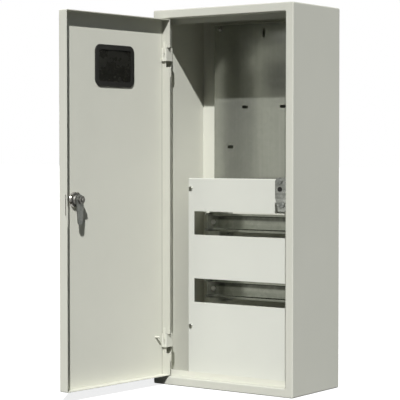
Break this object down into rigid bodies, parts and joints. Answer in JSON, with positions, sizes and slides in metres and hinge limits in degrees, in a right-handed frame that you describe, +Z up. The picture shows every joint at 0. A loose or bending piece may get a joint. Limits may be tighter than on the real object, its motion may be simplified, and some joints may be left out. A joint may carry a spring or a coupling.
{
  "type": "metal electrical enclosure",
  "caption": "Tall wall-mounting sheet-steel meter box with an inset hinged door, window, quarter-turn lock, meter plate, slotted inner cover and device rails.",
  "frame": {"origin": "centre of the cabinet's bottom face", "axes": "+X to the right seen from the front, +Y from the front to the wall, +Z up"},
  "size_m": [0.3102, 0.4304, 0.7],
  "materials": {
    "paint": "satin light grey powder coat",
    "cover_paint": "satin light grey powder coat",
    "galvanised": "galvanised sheet",
    "zinc_steel": "zinc-plated steel",
    "lock_metal": "nickel-plated zinc casting",
    "rubber": "matt black rubber",
    "smoked_pane": "smoked clear plastic"
  },
  "bodies": {
    "cabinet": {"back_panel": "paint", "body_earth_nut": "zinc_steel", "body_earth_stud": "zinc_steel", "cabinet_shell": "paint", "cover_pillars": "zinc_steel", "cover_screws": "zinc_steel", "inner_cover": "cover_paint", "keeper_bracket": "galvanised", "keeper_buffer": "rubber", "keeper_nuts": "zinc_steel", "keeper_screws": "zinc_steel", "left_rail_upright": "galvanised", "lower_hinge_frame_leaf": "paint", "lower_hinge_pin": "zinc_steel", "lower_rail": "galvanised", "meter_plate": "galvanised", "meter_plate_nuts": "zinc_steel", "meter_plate_spacers": "zinc_steel", "meter_plate_studs": "zinc_steel", "rail_screws": "zinc_steel", "right_rail_upright": "galvanised", "upper_hinge_frame_leaf": "paint", "upper_hinge_pin": "zinc_steel", "upper_rail": "galvanised"},
    "door": {"door_panel": "paint", "window_seal": "rubber", "window_pane": "smoked_pane", "upper_hinge_door_leaf": "paint", "lower_hinge_door_leaf": "paint", "lock_barrel": "lock_metal", "lock_nut": "lock_metal", "door_earth_stud": "paint"},
    "lock_rotor": {"lock_plug": "lock_metal", "lock_cam": "zinc_steel", "lock_cam_nut": "zinc_steel"}
  },
  "joints": [
    {"name": "door_hinge", "type": "hinge", "parent": "cabinet", "child": "door", "pos_m": [-0.1335, -0.0793, 0.35], "axis": [0, 0, 1], "range_deg": [-21.5, 93.5]},
    {"name": "lock_turn", "type": "hinge", "parent": "door", "child": "lock_rotor", "pos_m": [-0.15152, -0.31334, 0.3525], "axis": [-0.9981, 0.061, 0], "range_deg": [0, 90]}
  ]
}
